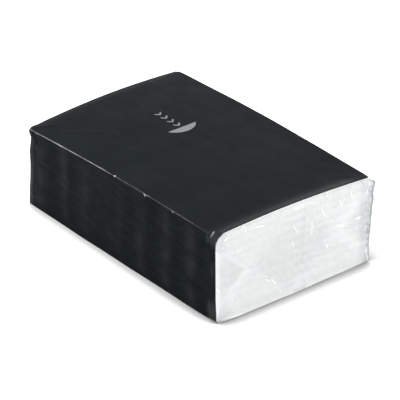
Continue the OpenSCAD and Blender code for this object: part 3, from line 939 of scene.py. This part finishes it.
silver_ink, nodes, shader = new_material("silver_ink", Specular_IOR_Level=0.15)
mottle = spots(nodes, 1.2, 0.0, 1.0)
feed(shader, {
    "Base Color": colour_between(nodes, mottle, (0.225, 0.24, 0.25), (0.26, 0.275, 0.285)),
    "Roughness": spots(nodes, 2.0, 0.4, 0.6),
})


def on_top(x, y):
    """A place on the printed film's top, just over its ink."""
    x, y = np.asarray(x, float), np.asarray(y, float)
    place = np.stack([x, y, top_height(x, y)], axis=-1)
    place[..., 2] += puckered(place, np.full(x.shape, TOP)) + SILVER_LIFT
    return place


points, faces = [], []


def add_print(xs, ys):
    """Adds a patch of print, over rows and columns of places."""
    grid = on_top(xs, ys)
    faces.extend(grid_faces(*grid.shape[:2], sum(len(p) for p in points)))
    points.append(grid.reshape(-1, 3))


half_chord = math.sqrt(MOON_R ** 2 - (MOON_R - MOON_DEPTH) ** 2)
chord = np.linspace(-half_chord, half_chord, 49)[:, None]
depth = np.sqrt(np.maximum(MOON_R ** 2 - chord ** 2, 0)) - (MOON_R - MOON_DEPTH)
share = np.linspace(0, 1, 10)[None]
add_print(MOON_X + depth * share, MOON_Y + chord + 0 * share)
for mark in range(1, MARKS + 1):
    x0 = MOON_X - MARK_PITCH * mark
    for way in (-1, 1):
        along = np.linspace(0, MARK_SIZE / 2, 7)[:, None]
        across = np.linspace(0, MARK_LINE, 4)[None]
        add_print(x0 + MARK_SIZE / 2 - along + across, MOON_Y + way * along + 0 * across)
silver_print = new_piece("silver_print", np.concatenate(points), faces, silver_ink)
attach(silver_print, "root")
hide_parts("tab_print")

# The white table the pack lies on. It isn't part of the object. The camera sees it white,
# with a painted contact shade from ambient occlusion, deeper and wider at the +X end.
FLOOR_HALF = 4000
# the stretch of X over which the painted contact shade grows deeper and wider
SHADE_FROM, SHADE_TO = 37.5, 40.5


def sight_mask(nodes):
    """1 for rays that look at a surface, straight or by a mirror or glass, and 0 for light."""
    rays = nodes.new("ShaderNodeLightPath").outputs
    straight_or_mirror = reckoned(nodes, "MAXIMUM", rays["Is Camera Ray"], rays["Is Glossy Ray"])
    return reckoned(nodes, "MAXIMUM", straight_or_mirror, rays["Is Transmission Ray"])


floor_white = bpy.data.materials.new("floor_white")
floor_white.use_nodes = True
nodes = floor_white.node_tree.nodes
nodes.remove(nodes["Principled BSDF"])
place = nodes.new("ShaderNodeNewGeometry").outputs["Position"]
at_x = add_node(nodes, "ShaderNodeSeparateXYZ", {"Vector": place}).outputs["X"]
deepest = mapped(nodes, at_x, SHADE_FROM * MM, SHADE_TO * MM, 0.5, 0.22)
near_by = mapped(nodes, at_x, SHADE_FROM * MM, SHADE_TO * MM, 5 * MM, 8.5 * MM)
hidden = add_node(nodes, "ShaderNodeAmbientOcclusion", {"Distance": near_by}, samples=16)
contact = mapped(nodes, hidden.outputs["AO"], 0.5, 0.95, deepest, interpolation_type="SMOOTHSTEP")
shade = reckoned(nodes, "MULTIPLY", contact, 0.75)
camera_ray = nodes.new("ShaderNodeLightPath").outputs["Is Camera Ray"]
extra = reckoned(nodes, "MULTIPLY", shade, camera_ray)
lit = add_node(nodes, "ShaderNodeBsdfDiffuse", {"Color": (0.8, 0.8, 0.8, 1)}).outputs["BSDF"]
seen = add_node(nodes, "ShaderNodeBsdfDiffuse", {"Color": shade}).outputs["BSDF"]
seen_more = add_node(nodes, "ShaderNodeBsdfDiffuse", {"Color": extra}).outputs["BSDF"]
both = add_node(nodes, "ShaderNodeAddShader", {0: seen, 1: seen_more}).outputs["Shader"]
feed(nodes["Material Output"], {"Surface": shader_mix(nodes, sight_mask(nodes), lit, both)})
corners = [(x * FLOOR_HALF, y * FLOOR_HALF, 0) for x, y in ((-1, -1), (1, -1), (1, 1), (-1, 1))]
floor = new_piece("floor", corners, [(0, 1, 2, 3)], floor_white, smooth_faces=False)

# Plain soft studio light, and the camera at the photograph's angle.
world = bpy.data.worlds.new("studio")
bpy.context.scene.world = world
world.use_nodes = True
nodes = world.node_tree.nodes
fill = nodes["Background"]
feed(fill, {"Color": (1, 1, 1, 1), "Strength": 0.55})
white = add_node(nodes, "ShaderNodeBackground", {"Color": (1, 1, 1, 1), "Strength": 1.0})
mixed = shader_mix(nodes, sight_mask(nodes), fill.outputs["Background"], white.outputs["Background"])
feed(nodes["World Output"], {"Surface": mixed})


def facing(right, up, back, place):
    """The matrix of a lamp or camera at a place, from its three ways."""
    return Matrix.Translation(place) @ Matrix((right, up, back)).transposed().to_4x4()


def soft_box(name, place, size, level, along=(0, 0, 1)):
    """A flat lamp that faces the pack, at a level where 1 is white, its second side along the way given."""
    light = bpy.data.lights.new(name, "AREA")
    light.shape = "RECTANGLE"
    light.size, light.size_y = size
    light.energy = level * math.pi * size[0] * size[1]
    lamp = bpy.data.objects.new(name, light)
    out = (Vector(place) - Vector((0, 0, 0.012))).normalized()
    side = Vector(along).cross(out).normalized()
    length = out.cross(side)
    lamp.matrix_world = facing(side, length, out, place)
    bpy.context.scene.collection.objects.link(lamp)


soft_box("lamp_left", (-0.415, -0.25, 0.36), (0.16, 0.5), 13.0, along=(0, 0.75, 0.66))
soft_box("lamp_right", (0.5, 0.16, 0.18), (0.3, 0.24), 8.5)

CAMERA_AT = Vector((0.433763, -0.336437, 0.309434))
CAMERA_AIM = Vector((0.0, 0.001612, 0.008768))
CAMERA_ROLL = math.radians(-0.466)
camera_data = bpy.data.cameras.new("camera")
camera_data.lens = 216
camera_data.sensor_width = 36
camera_data.clip_end = 100
camera = bpy.data.objects.new("camera", camera_data)
back = (CAMERA_AT - CAMERA_AIM).normalized()
level = Vector((0, 0, 1)).cross(back).normalized()
upright = back.cross(level)
right = math.cos(CAMERA_ROLL) * level + math.sin(CAMERA_ROLL) * upright
up = back.cross(right)
camera.matrix_world = facing(right, up, back, CAMERA_AT)
bpy.context.scene.collection.objects.link(camera)
bpy.context.scene.camera = camera
bpy.context.scene.view_settings.view_transform = "Standard"
